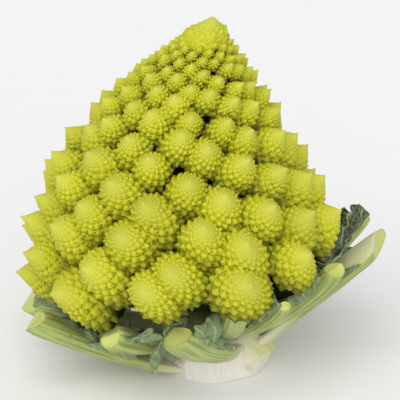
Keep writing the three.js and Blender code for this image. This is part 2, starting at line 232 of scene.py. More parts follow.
def bud_places(rings, slants, turns, sizes, standing, reaches):
    """Slant, turn, height and nearness to its tip of every point of the buds that have these rings."""
    sized = sizes * standing
    tips = slants - BUD_TIP["lean"] * sized
    places = [(tips, turns, BUD_TIP["height"] * sized, nearness(BUD_TIP["near"], standing))]
    for number, ring in enumerate(rings):
        for side in range(ring["sides"]):
            turn = 2 * math.pi * (side + 0.5 * number) / ring["sides"]
            out = slants + ring["share"] * sizes * math.cos(turn) - ring["lean"] * sized
            across = turns + ring["share"] * sizes * math.sin(turn) / reaches
            knob = ring["knob"] * (-1) ** side
            near = nearness(ring["near"] + knob, standing)
            places.append((out, across, (ring["height"] + knob) * sized, near))
    return [np.concatenate(column) for column in zip(*places)]


def plain_ring(slant, height, near, turns):
    """A ring of points at one slant, without buds."""
    count = len(turns)
    return [np.full(count, slant), turns, np.full(count, height), np.full(count, near)]


def budded_surface(walk, slants, turns, sizes, standing, end, tip_height, scale):
    """Buds on an outline that is turned round its axis: points, triangles, nearness to a tip, and drop.

    The points are joined on a flat map of the surface that keeps angles, so the triangles are even.
    """
    reaches = at_slant(walk, "reach", slants)
    parts = []
    for form in BUD_FORMS:
        held = (sizes * scale > form["over"]) & (sizes * scale <= form["up_to"])
        values = (slants[held], turns[held], sizes[held], standing[held], reaches[held])
        parts.append(bud_places(form["rings"], *values))
    around = np.arange(PLAIN_SIDES) * 2 * math.pi / PLAIN_SIDES
    last = slants.max()
    share = TIP_RING["share"]
    parts.append(plain_ring(0.0, tip_height, TIP_NEARNESS, np.zeros(1)))
    parts.append(plain_ring(slants[0] * share, tip_height * share, TIP_RING["near"], around[::2]))
    for share in CLOSING_SHARES:
        parts.append(plain_ring(last + (end - last) * share, 0.0, 0.0, around))
    slant, turn, height, near = (np.concatenate(column) for column in zip(*parts))
    slant = np.clip(slant, 0, end)
    reach = at_slant(walk, "reach", slant)
    drop = at_slant(walk, "drop", slant)
    out = reach + height * at_slant(walk, "normal_out", slant)
    points = np.stack([
        out * np.cos(turn),
        out * np.sin(turn),
        height * at_slant(walk, "normal_up", slant) - drop,
    ], axis=1)
    spread = np.exp(at_slant(walk, "spread", slant) - at_slant(walk, "spread", end * MAP_MIDDLE))
    spread[slant == 0] = 0
    flat = [Vector((r * math.cos(t), r * math.sin(t))) for r, t in zip(spread, turn)]
    _, _, triangles, sources, _, _ = delaunay_2d_cdt(flat, [], [], 0, 1e-9)
    faces = np.array([[sources[corner][0] for corner in triangle] for triangle in triangles])
    return points, faces, near, drop


def floret_template(kind, seed):
    """One floret of size 1 with its tip at the origin, pointing up."""
    vary = np.random.default_rng(seed)
    walk = floret_walk()
    sizes = growing_size(walk["slant"], kind["bud_growth"], kind["largest_bud"])
    last = np.interp(BUDDED_LENGTH, walk["drop"], walk["slant"])
    slants = lattice(walk, sizes, kind["first_bud"], last)
    turns = GOLDEN_ANGLE * np.arange(len(slants)) + vary.uniform(0, ANY_TURN)
    bud_sizes = np.interp(slants, walk["slant"], sizes)
    turns += BUD_SCATTER * vary.normal(size=len(slants)) * bud_sizes / at_slant(walk, "reach", slants)
    slants = slants + BUD_SCATTER * vary.normal(size=len(slants)) * bud_sizes
    bud_sizes = bud_sizes * vary.uniform(*BUD_SIZES, len(slants))
    grown = np.clip((slants - BUD_STANDING["from"]) / BUD_STANDING["over"], 0, 1)
    standing = BUD_STANDING["least"] + BUD_STANDING["more"] * grown * grown * (3 - 2 * grown)
    standing = standing * vary.uniform(*BUD_HEIGHTS, len(slants))
    points, faces, near, drop = budded_surface(
        walk, slants, turns, bud_sizes, standing, walk["slant"][-1], TIP_RISE, kind["size"]
    )
    return points, faces, near, drop / FLORET_LENGTH


def crown_template():
    """The smooth tip of the curd, in millimetres, with the first knobs rising at its edge."""
    vary = np.random.default_rng(CROWN_SEED)
    knobs = CROWN_KNOBS
    sizes = knobs["size"] * np.maximum(curd_walk["slant"], knobs["least_slant"])
    slants = lattice(curd_walk, sizes, knobs["first"], CROWN_SLANT)
    turns = FIRST_AZIMUTH + GOLDEN_ANGLE * np.arange(len(slants))
    standing = np.clip((slants - knobs["from"]) / knobs["over"], knobs["least"], 1)
    standing = standing * vary.uniform(*BUD_HEIGHTS, len(slants))
    bud_sizes = np.interp(slants, curd_walk["slant"], sizes)
    end = CROWN_SLANT + CROWN_SKIRT
    points, faces, near, drop = budded_surface(
        curd_walk, slants, turns, bud_sizes, standing, end, -CROWN_BLUNTING, 1
    )
    low = at_slant(curd_walk, "drop", end) - CROWN_TUCK["within"]
    points[drop > low, 2] -= CROWN_TUCK["by"]
    return points, faces, np.maximum(near, CROWN_NEARNESS), drop / low * CROWN_DEPTH


def bowed(points):
    """The curd bows to the left between its foot on the stem and its apex."""
    share = np.clip((points[:, 2] - CURD_FOOT_HEIGHT) / (APEX_HEIGHT - CURD_FOOT_HEIGHT), 0, 1.1)
    moved = points.copy()
    moved[:, 0] += CURD_BOW * 4 * share * (1 - share)
    return moved


def outward(azimuth):
    """The level direction away from the axis at an azimuth."""
    return np.array([math.sin(azimuth), -math.cos(azimuth), 0.0])


def axis_elevation(slant):
    """How steeply a floret points up, between straight out of the curd and upright."""
    normal = math.atan2(at_slant(curd_walk, "normal_up", slant), at_slant(curd_walk, "normal_out", slant))
    fade = np.interp(at_slant(curd_walk, "drop", slant), UPRIGHT_FADE, (1, 0))
    return normal + UPRIGHT_SHARE * fade * max(0, UPRIGHT - normal)


def placed_floret(template, slant, azimuth, size, elevation):
    """A floret on its site, a little off true, as grown ones are."""
    points, faces, near, depth = template
    out = outward(azimuth)
    axis = math.cos(elevation) * out + math.sin(elevation) * np.array([0, 0, 1.0])
    aside = outward(azimuth + math.pi / 2)
    across = np.cross(axis, aside)
    tilt_aside, tilt_across = random.normal(0, FLORET_LEAN, 2)
    spin = random.uniform(0, 2 * math.pi)
    wide, deep, long = 1 + random.normal(0, FLORET_STRETCH)
    x = points[:, 0] * math.cos(spin) - points[:, 1] * math.sin(spin)
    y = points[:, 0] * math.sin(spin) + points[:, 1] * math.cos(spin)
    z = points[:, 2] * long
    x = x * wide - tilt_aside * (z + FLORET_ROOT)
    y = y * deep - tilt_across * (z + FLORET_ROOT)
    tip = out * at_slant(curd_walk, "reach", slant)
    tip[2] = APEX_HEIGHT - at_slant(curd_walk, "drop", slant)
    placed = tip + size * (x[:, None] * aside + y[:, None] * across + z[:, None] * axis)
    tone = np.full(len(points), random.uniform(0, 1))
    return bowed(placed), faces, np.stack([near, depth, tone, np.ones(len(points))], axis=1)


def placed_crown():
    """The crown on the apex of the curd."""
    points, faces, near, depth = crown_template()
    tone = np.full(len(points), CROWN_TONE)
    return (
        bowed(points + [0, 0, APEX_HEIGHT]),
        faces,
        np.stack([near, depth, tone, np.ones(len(points))], axis=1),
    )


def mesh_object(name, points, faces, tones):
    """A smooth object from points in millimetres and faces, with its tones as a colour at each point."""
    mesh = bpy.data.meshes.new(name)
    mesh.vertices.add(len(points))
    mesh.vertices.foreach_set("co", (points * MILLIMETRE).ravel())
    mesh.loops.add(faces.size)
    mesh.loops.foreach_set("vertex_index", faces.ravel())
    mesh.polygons.add(len(faces))
    mesh.polygons.foreach_set("loop_start", np.arange(0, faces.size, faces.shape[1]))
    mesh.update(calc_edges=True)
    mesh.validate()
    attribute = mesh.color_attributes.new("tones", "FLOAT_COLOR", "POINT")
    attribute.data.foreach_set("color", tones.astype(np.float32).ravel())
    mesh.polygons.foreach_set("use_smooth", np.ones(len(mesh.polygons), dtype=bool))
    piece = bpy.data.objects.new(name, mesh)
    bpy.context.scene.collection.objects.link(piece)
    return piece


def joined(parts):
    """Points, faces and tones of several parts as one array each."""
    starts = np.cumsum([0] + [len(points) for points, _, _ in parts])
    return (
        np.concatenate([points for points, _, _ in parts]),
        np.concatenate([faces + start for (_, faces, _), start in zip(parts, starts)]),
        np.concatenate([tones for _, _, tones in parts]),
    )


def linear(hex_colour):
    """An sRGB hex colour as linear red, green, blue and alpha."""
    channels = [int(hex_colour[i : i + 2], 16) / 255 for i in (1, 3, 5)]
    return [c / 12.92 if c <= 0.04045 else ((c + 0.055) / 1.055) ** 2.4 for c in channels] + [1.0]


def add_node(material, kind, settings, inputs):
    """Adds a node, sets its properties, and sets or links its inputs.

    A MapRange node takes a value at input 0, the ends of its range at 1 and 2, and what they turn into
    at 3 and 4. A Mix node takes the share of its second colour at input 0 and its two colours at 6 and 7.
    """
    tree = material.node_tree
    node = tree.nodes.new("ShaderNode" + kind)
    for name, value in settings.items():
        setattr(node, name, value)
    for socket, value in inputs.items():
        if isinstance(value, bpy.types.NodeSocket):
            tree.links.new(value, node.inputs[socket])
        else:
            node.inputs[socket].default_value = value
    return node


def new_material(name):
    material = bpy.data.materials.new(name)
    material.use_nodes = True
    material.node_tree.nodes.clear()
    return material


# Curd tissue, grown: waxy yellow-green, palest on the tip of each bud, with painted shade that turns it
# olive green where the buds part and dark at a floret's root, and with a little light passing through it.
# Its patches are about 22 mm wide, and its grain, really finer, is drawn 0.9 mm wide to show. Its tones are
# how near a bud's tip a point is, which sets the painted shade where the buds part, how deep down its
# floret, which sets the painted shade at its root, and how bright the floret is.
curd_tissue = new_material("curd_tissue")
tones = add_node(curd_tissue, "Attribute", {"attribute_name": "tones"}, {})
tone = add_node(curd_tissue, "SeparateColor", {}, {0: tones.outputs["Color"]})
place = add_node(curd_tissue, "TexCoord", {}, {})
patches = add_node(curd_tissue, "TexNoise", {}, {
    "Vector": place.outputs["Object"], "Scale": 1000 / 22, "Detail": 3, "Roughness": 0.6,
})
grains = add_node(curd_tissue, "TexVoronoi", {}, {
    "Vector": place.outputs["Object"], "Scale": 1000 / 0.9, "Randomness": 0.9,
})
flesh = add_node(curd_tissue, "Mix", {"data_type": "RGBA"}, {
    0: patches.outputs[0], 6: linear("#BCBC0C"), 7: linear("#C8C828"),
})
# Painted shade: olive green where the buds part, away from each bud's tip.
painted_parting_shade = add_node(curd_tissue, "MapRange", {}, {0: tone.outputs[0], 1: 0.0, 2: 0.38, 3: 0.0, 4: 1.0})
shaded_between_buds = add_node(curd_tissue, "Mix", {"data_type": "RGBA"}, {
    0: painted_parting_shade.outputs[0], 6: linear("#7C7F05"), 7: flesh.outputs[2],
})
tipping = add_node(curd_tissue, "MapRange", {}, {0: tone.outputs[0], 1: 0.65, 2: 1.0, 3: 0.0, 4: 0.6})
tipped = add_node(curd_tissue, "Mix", {"data_type": "RGBA"}, {
    0: tipping.outputs[0], 6: shaded_between_buds.outputs[2], 7: linear("#CDCD5A"),
})
capping = add_node(curd_tissue, "MapRange", {}, {0: tone.outputs[1], 1: 0.02, 2: 0.3, 3: 0.35, 4: 0.0})
capped = add_node(curd_tissue, "Mix", {"data_type": "RGBA"}, {
    0: capping.outputs[0], 6: tipped.outputs[2], 7: linear("#C6C974"),
})
# Painted shade: near black deep down at a floret's root, where the florets crowd together.
painted_root_shade = add_node(curd_tissue, "MapRange", {}, {0: tone.outputs[1], 1: 0.36, 2: 0.8, 3: 0.0, 4: 1.0})
shaded_at_root = add_node(curd_tissue, "Mix", {"data_type": "RGBA"}, {
    0: painted_root_shade.outputs[0], 6: capped.outputs[2], 7: linear("#1C2205"),
})
brightness = add_node(curd_tissue, "MapRange", {}, {0: tone.outputs[2], 1: 0.0, 2: 1.0, 3: 0.93, 4: 1.05})
fresh = add_node(curd_tissue, "HueSaturation", {}, {
    "Color": shaded_at_root.outputs[2], "Value": brightness.outputs[0],
})
relief = add_node(curd_tissue, "Bump", {}, {
    "Height": grains.outputs["Distance"], "Strength": 0.25, "Distance": 0.0003,
})
skin = add_node(curd_tissue, "BsdfPrincipled", {}, {
    "Base Color": fresh.outputs[0],
    "Roughness": 0.5,
    "IOR": 1.42,
    "Specular IOR Level": 0.3,
    "Subsurface Weight": 0.2,
    "Subsurface Radius": (0.9, 1.0, 0.25),
    "Subsurface Scale": 0.0012,
    "Normal": relief.outputs[0],
})
add_node(curd_tissue, "OutputMaterial", {}, {"Surface": skin.outputs[0]})


def floret_sites():
    """Slant, azimuth and size of each floret, down to the leaves."""
    slants = lattice(curd_walk, curd_sizes, FIRST_FLORET_SLANT, curd_walk["slant"][-1])
    sites = []
    for number, slant in enumerate(slants):
        azimuth = FIRST_AZIMUTH + GOLDEN_ANGLE * number
        height = APEX_HEIGHT - at_slant(curd_walk, "drop", slant)
        if height > LOWEST_FLORET_HEIGHT + LOWEST_FLORET_RISE * math.sin(azimuth):
            sites.append((slant, azimuth, np.interp(slant, curd_walk["slant"], curd_sizes)))
    return sites


templates = []
for number, kind in enumerate(FLORET_KINDS):
    templates.append([floret_template(kind, 10 * number + variant) for variant in range(VARIANTS)])

sites = floret_sites()
florets = [placed_crown()]
for number, (slant, azimuth, size) in enumerate(sites):
    kind_number = next(i for i, kind in enumerate(FLORET_KINDS) if size <= kind["up_to"])
    template = templates[kind_number][number % VARIANTS]
    elevation = axis_elevation(slant)
    grown_size = size * random.uniform(*FLORET_SIZES)
    grown_slant = slant + FLORET_SCATTER * size * random.normal()
    grown_azimuth = azimuth + FLORET_SCATTER * random.normal() * size / at_slant(curd_walk, "reach", slant)
    florets.append(placed_floret(template, grown_slant, grown_azimuth, grown_size, elevation))

group = []
group_number = 1
triangles = 0
for number, floret in enumerate(florets):
    group.append(floret)
    triangles += len(floret[1])
    if triangles > MOST_TRIANGLES or number == len(florets) - 1:
        piece = mesh_object(f"florets_{group_number}", *joined(group))
        piece.data.materials.append(curd_tissue)
        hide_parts("curd")
        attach(piece, "root")
        group = []
        group_number += 1
        triangles = 0


# The body of the curd.
# Inside, the real curd is thick pale stalks that fork until each ends in a floret. It is one body with
# them: a solid crown under the florets, and below it the lowest stalks, which gather on the stem.

# The crown's surface lies this share of a floret's size under the florets' tips. Below it the underside
# draws in to the foot, given as the reach and height of each ring.
BODY_DEPTH = 0.96
BODY_SIDES = 72
BODY_DROPS = [7, 9, *range(12, 117, 4)]
BODY_TIP_REACH = 0.3
BODY_UNDERSIDE = [(46, 55), (36, 52), (24, 44), (19.5, CURD_FOOT_HEIGHT - 2)]

# Each of the lowest florets has a stalk of its own, thick at the floret and thinner at the foot.
STALKED_BELOW = 96
STALK_TIP_DEPTH = 0.9
STALK_OVERLAP = 3
STALK_BEND = {"reach": 34, "drop": 17}
STALK_ROOT_REACH = 13
STALK_THICKNESS = (9.0, 5.5)
STALK_SIDES = 12
STALK_STEPS = 10

# The painted shade on the tissue lifts to pale inside this reach and below this height.
PAINTED_SHADE_FADE = {"reach": 52, "over_reach": 30, "height": 64, "over_height": 14}


def tube_faces(rings, sides, start=0):
    """Quads between the rings of a tube, whose points run round each ring in turn."""
    faces = []
    for ring in range(rings - 1):
        for side in range(sides):
            after = (side + 1) % sides
            lower = start + ring * sides
            upper = lower + sides
            faces.append([lower + side, lower + after, upper + after, upper + side])
    return np.array(faces)


def curd_body():
    """The crown under the florets and its underside, turned round the axis."""
    drops = np.array(BODY_DROPS)
    slants = np.interp(drops, curd_walk["drop"], curd_walk["slant"])
    depth = BODY_DEPTH * np.interp(slants, curd_walk["slant"], curd_sizes)
    reach = at_slant(curd_walk, "reach", slants) - depth * at_slant(curd_walk, "normal_out", slants)
    height = APEX_HEIGHT - drops - depth * at_slant(curd_walk, "normal_up", slants)
    reach[0] = BODY_TIP_REACH
    rings = list(zip(reach, height)) + BODY_UNDERSIDE
    points = []
    for ring_reach, ring_height in rings:
        for side in range(BODY_SIDES):
            points.append(outward(2 * math.pi * side / BODY_SIDES) * ring_reach + [0, 0, ring_height])
    points = np.array(points)
    faces = tube_faces(len(rings), BODY_SIDES)[:, ::-1]
    return bowed(points), faces, stalk_painted_shade(points)


def stalk_painted_shade(points):
    """How pale the tissue is under its painted shade: dark in the shade of the florets, pale where the
    stalks gather.
    """
    reach = np.hypot(points[:, 0], points[:, 1])
    painted_shade_to_pale = np.clip((PAINTED_SHADE_FADE["reach"] - reach) / PAINTED_SHADE_FADE["over_reach"], 0, 1)
    painted_shade_to_pale = painted_shade_to_pale * np.clip((PAINTED_SHADE_FADE["height"] - points[:, 2]) / PAINTED_SHADE_FADE["over_height"], 0, 1)
    return np.stack([painted_shade_to_pale, painted_shade_to_pale, painted_shade_to_pale, painted_shade_to_pale * 0 + 1], axis=1)


def stalk(azimuth, slant, size):
    """One stalk from the root of a low floret to the foot of the curd."""
    out = outward(azimuth)
    drop = at_slant(curd_walk, "drop", slant)
    tip_reach = at_slant(curd_walk, "reach", slant)
    start = out * (tip_reach - STALK_TIP_DEPTH * size) + [0, 0, APEX_HEIGHT - drop - STALK_OVERLAP]
    middle = out * STALK_BEND["reach"] + [0, 0, APEX_HEIGHT - drop - STALK_BEND["drop"]]
    end = out * STALK_ROOT_REACH + [0, 0, CURD_FOOT_HEIGHT - STALK_OVERLAP]
    points = []
    for step in range(STALK_STEPS + 1):
        t = step / STALK_STEPS
        centre = (1 - t) ** 2 * start + 2 * t * (1 - t) * middle + t * t * end
        along = 2 * (1 - t) * (middle - start) + 2 * t * (end - middle)
        along = along / np.linalg.norm(along)
        aside = outward(azimuth + math.pi / 2)
        over = np.cross(along, aside)
        thick = STALK_THICKNESS[0] * (1 - t) + STALK_THICKNESS[1] * t
        for side in range(STALK_SIDES):
            turn = 2 * math.pi * side / STALK_SIDES
            points.append(centre + thick * (math.cos(turn) * aside + math.sin(turn) * over))
    points = np.array(points)
    return bowed(points), tube_faces(STALK_STEPS + 1, STALK_SIDES), stalk_painted_shade(points)


# Stalk tissue, grown: smooth and dull, darkened by painted shade to nearly black-green deep between the
# florets and pale green where the stalks gather at the foot, with faint upright fibres 1.6 mm apart.
stalk_tissue = new_material("stalk_tissue")
tones = add_node(stalk_tissue, "Attribute", {"attribute_name": "tones"}, {})
tone = add_node(stalk_tissue, "SeparateColor", {}, {0: tones.outputs["Color"]})
place = add_node(stalk_tissue, "TexCoord", {}, {})
stretched = add_node(stalk_tissue, "Mapping", {}, {0: place.outputs["Object"], "Scale": (1, 1, 0.15)})
fibres = add_node(stalk_tissue, "TexNoise", {}, {
    "Vector": stretched.outputs[0], "Scale": 1000 / 1.6, "Detail": 3,
})
# Painted shade: nearly black-green under the florets, lifting to pale green at the foot.
painted_shade_to_pale = add_node(stalk_tissue, "Mix", {"data_type": "RGBA"}, {
    0: tone.outputs[0], 6: linear("#141A05"), 7: linear("#A3AA68"),
})
fibred = add_node(stalk_tissue, "Mix", {"data_type": "RGBA", "blend_type": "MULTIPLY"}, {
    0: 0.25, 6: painted_shade_to_pale.outputs[2], 7: fibres.outputs[1],
})
skin = add_node(stalk_tissue, "BsdfPrincipled", {}, {
    "Base Color": fibred.outputs[2], "Roughness": 0.8, "IOR": 1.4, "Specular IOR Level": 0.1,
})
add_node(stalk_tissue, "OutputMaterial", {}, {"Surface": skin.outputs[0]})

lowest = [site for site in sites if APEX_HEIGHT - at_slant(curd_walk, "drop", site[0]) < STALKED_BELOW]
body_parts = [curd_body()]
for slant, azimuth, size in lowest:
    body_parts.append(stalk(azimuth, slant, size))
body = mesh_object("curd_body", *joined(body_parts))
body.data.materials.append(stalk_tissue)
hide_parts("curd")
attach(body, "root")


# The stem.
# The thick stalk of the whole plant, cut through with a knife in the field. It is white, fibrous and
# damp, swells where the leaves sat, and shows a woody ring round a softer pith on its cut face.

# The stem is STEM_CUT wide and deep. Its outline gives shares of that and the heights that they are at.
# The first rows are close together, because the knife left the rim of the cut face a little worn. The
# rings of the cut face meet in a pinhole.
STEM_CUT = (55, 49)
STEM_OUTLINE = [(0.98, 0), (1.03, 4), (1.05, 10), (0.97, 17), (0.86, 25), (0.78, 33.6), (0.72, 38)]
STEM_SIDES = 120
STEM_ROWS = 40
RIM_HEIGHTS = [0, 0.25, 0.8]
RIM_WEAR = (0.02, 0.005)
SIDE_START = 1.6
FACE_RINGS = 8
FACE_HOLE = 0.004
STEM_HACKS = 0.035
STEM_RIDGES = (0.012, 0.01)
RIDGE_ONSET = 3

# The foot of a leaf that was broken off is left at the front right as a torn fringe.
FRINGE = {"azimuth": 58, "spread": 30, "height": 16, "tall": 7, "depth": 5.5, "tatter": 0.3, "core": 5}

# Knife cuts down the side: where each faces, how far out it lies at the floor, and how it slopes.
STEM_SLICES = [
    {"azimuth": -48, "distance": 24.5, "slope": 0.12},
    {"azimuth": -8, "distance": 24.2, "slope": 0.05},
    {"azimuth": 38, "distance": 25.0, "slope": 0.1},
    {"azimuth": 82, "distance": 25.0, "slope": 0.45},
    {"azimuth": 125, "distance": 24.5, "slope": 0.1},
    {"azimuth": 170, "distance": 24.0, "slope": 0.05},
    {"azimuth": 222, "distance": 25.2, "slope": 0.1},
    {"azimuth": 268, "distance": 27.0, "slope": 0.1},
]


def stem_reach(azimuth):
    """The outline of the stem is no true oval, because the leaf stubs were hacked off it."""
    return 1 + STEM_HACKS * (math.cos(3 * azimuth + 1) + 0.6 * math.cos(7 * azimuth))


def torn_fringe(azimuth, height):
    """How much of the torn fringe there is here, from 0 to 1."""
    turned = math.degrees(azimuth) - FRINGE["azimuth"]
    raised = height - FRINGE["height"]
    return math.exp(-((turned / FRINGE["spread"]) ** 2) - (raised / FRINGE["tall"]) ** 2)


def stem_point(azimuth, share, height):
    """A point of the stem's side, or of its cut face where the share is less than the outline's."""
    ridges = STEM_RIDGES[0] * math.sin(11 * azimuth + 0.13 * height)
    ridges += STEM_RIDGES[1] * math.sin(23 * azimuth - 0.2 * height)
    reach = share * (stem_reach(azimuth) + ridges * min(1, height / RIDGE_ONSET))
    x = math.sin(azimuth) * reach * STEM_CUT[0] / 2
    y = -math.cos(azimuth) * reach * STEM_CUT[1] / 2
    shrink = 1
    for cut in STEM_SLICES:
        out = outward(math.radians(cut["azimuth"]))
        limit = cut["distance"] + cut["slope"] * height
        shrink = min(shrink, limit / max(out[0] * x + out[1] * y, 1e-6))
    tatter = FRINGE["tatter"] * math.sin(29 * azimuth) * math.sin(0.9 * height)
    torn = torn_fringe(azimuth, height) * (1 + tatter)
    pushed = shrink * (1 + FRINGE["depth"] * torn / max(math.hypot(x, y), FRINGE["core"]))
    return [x * pushed, y * pushed, height]


def stem_parts():
    """The cut face from its middle out, and then the side from the floor up."""
    upper = np.linspace(SIDE_START, STEM_OUTLINE[-1][1], STEM_ROWS - len(RIM_HEIGHTS))
    heights = np.concatenate([RIM_HEIGHTS, upper])
    shares = np.interp(heights, [h for _, h in STEM_OUTLINE], [s for s, _ in STEM_OUTLINE])
    shares[:2] -= RIM_WEAR
    azimuths = [2 * math.pi * side / STEM_SIDES for side in range(STEM_SIDES)]
    points, tones = [], []
    for ring in range(FACE_RINGS):
        share = ring / FACE_RINGS * shares[0] + FACE_HOLE
        for azimuth in azimuths:
            points.append(stem_point(azimuth, share, 0))
            tones.append([0, share, 0, 1])
    for height, share in zip(heights, shares):
        for azimuth in azimuths:
            points.append(stem_point(azimuth, share, height))
            tones.append([0, height / CURD_FOOT_HEIGHT, torn_fringe(azimuth, height), 1])
    return np.array(points), tube_faces(FACE_RINGS + STEM_ROWS, STEM_SIDES), np.array(tones)


# Stem tissue, cut and scarred: creamy white flesh with fibres up it 1.8 mm apart, browned in patches where
# the knife bruised it, green on the rim of its cut face and at its neck, where the olive green is partly
# its own and partly painted shade under the head, and yellow-green on the torn fringe. Its tones are how
# far up it or out on its cut face a point is, and how torn.
stem_tissue = new_material("stem_tissue")
tones = add_node(stem_tissue, "Attribute", {"attribute_name": "tones"}, {})
tone = add_node(stem_tissue, "SeparateColor", {}, {0: tones.outputs["Color"]})
place = add_node(stem_tissue, "TexCoord", {}, {})
stretched = add_node(stem_tissue, "Mapping", {}, {0: place.outputs["Object"], "Scale": (1, 1, 0.2)})
fibres = add_node(stem_tissue, "TexNoise", {}, {
    "Vector": stretched.outputs[0], "Scale": 1000 / 1.8, "Detail": 4,
})
bruises = add_node(stem_tissue, "TexNoise", {}, {
    "Vector": place.outputs["Object"], "Scale": 1000 / 14, "Detail": 5,
})
flesh = add_node(stem_tissue, "Mix", {"data_type": "RGBA"}, {
    0: fibres.outputs[0], 6: linear("#DDD5CC"), 7: linear("#F8F4F0"),
})
bruising = add_node(stem_tissue, "MapRange", {}, {0: bruises.outputs[0], 1: 0.6, 2: 0.74, 3: 0.0, 4: 0.7})
bruised = add_node(stem_tissue, "Mix", {"data_type": "RGBA"}, {
    0: bruising.outputs[0], 6: flesh.outputs[2], 7: linear("#B8A25C"),
})
# Green on the rim of the cut face and at the neck, with painted shade darkening the neck under the head.
greening_and_shade = add_node(stem_tissue, "MapRange", {}, {0: tone.outputs[1], 1: 0.5, 2: 0.85, 3: 0.0, 4: 0.9})
greened_and_shaded = add_node(stem_tissue, "Mix", {"data_type": "RGBA"}, {
    0: greening_and_shade.outputs[0], 6: bruised.outputs[2], 7: linear("#8A9150"),
})
fringed = add_node(stem_tissue, "Mix", {"data_type": "RGBA"}, {
    0: tone.outputs[2], 6: greened_and_shaded.outputs[2], 7: linear("#CBCB86"),
})
relief = add_node(stem_tissue, "Bump", {}, {
    "Height": fibres.outputs[0], "Strength": 0.5, "Distance": 0.0008,
})
skin = add_node(stem_tissue, "BsdfPrincipled", {}, {
    "Base Color": fringed.outputs[2],
    "Roughness": 0.42,
    "IOR": 1.4,
    "Subsurface Weight": 0.15,
    "Subsurface Radius": (1.0, 0.9, 0.6),
    "Subsurface Scale": 0.002,
    "Normal": relief.outputs[0],
})
add_node(stem_tissue, "OutputMaterial", {}, {"Surface": skin.outputs[0]})

stem = mesh_object("cut_stem", *stem_parts())
stem.data.materials.append(stem_tissue)
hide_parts("stem")
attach(stem, "root")
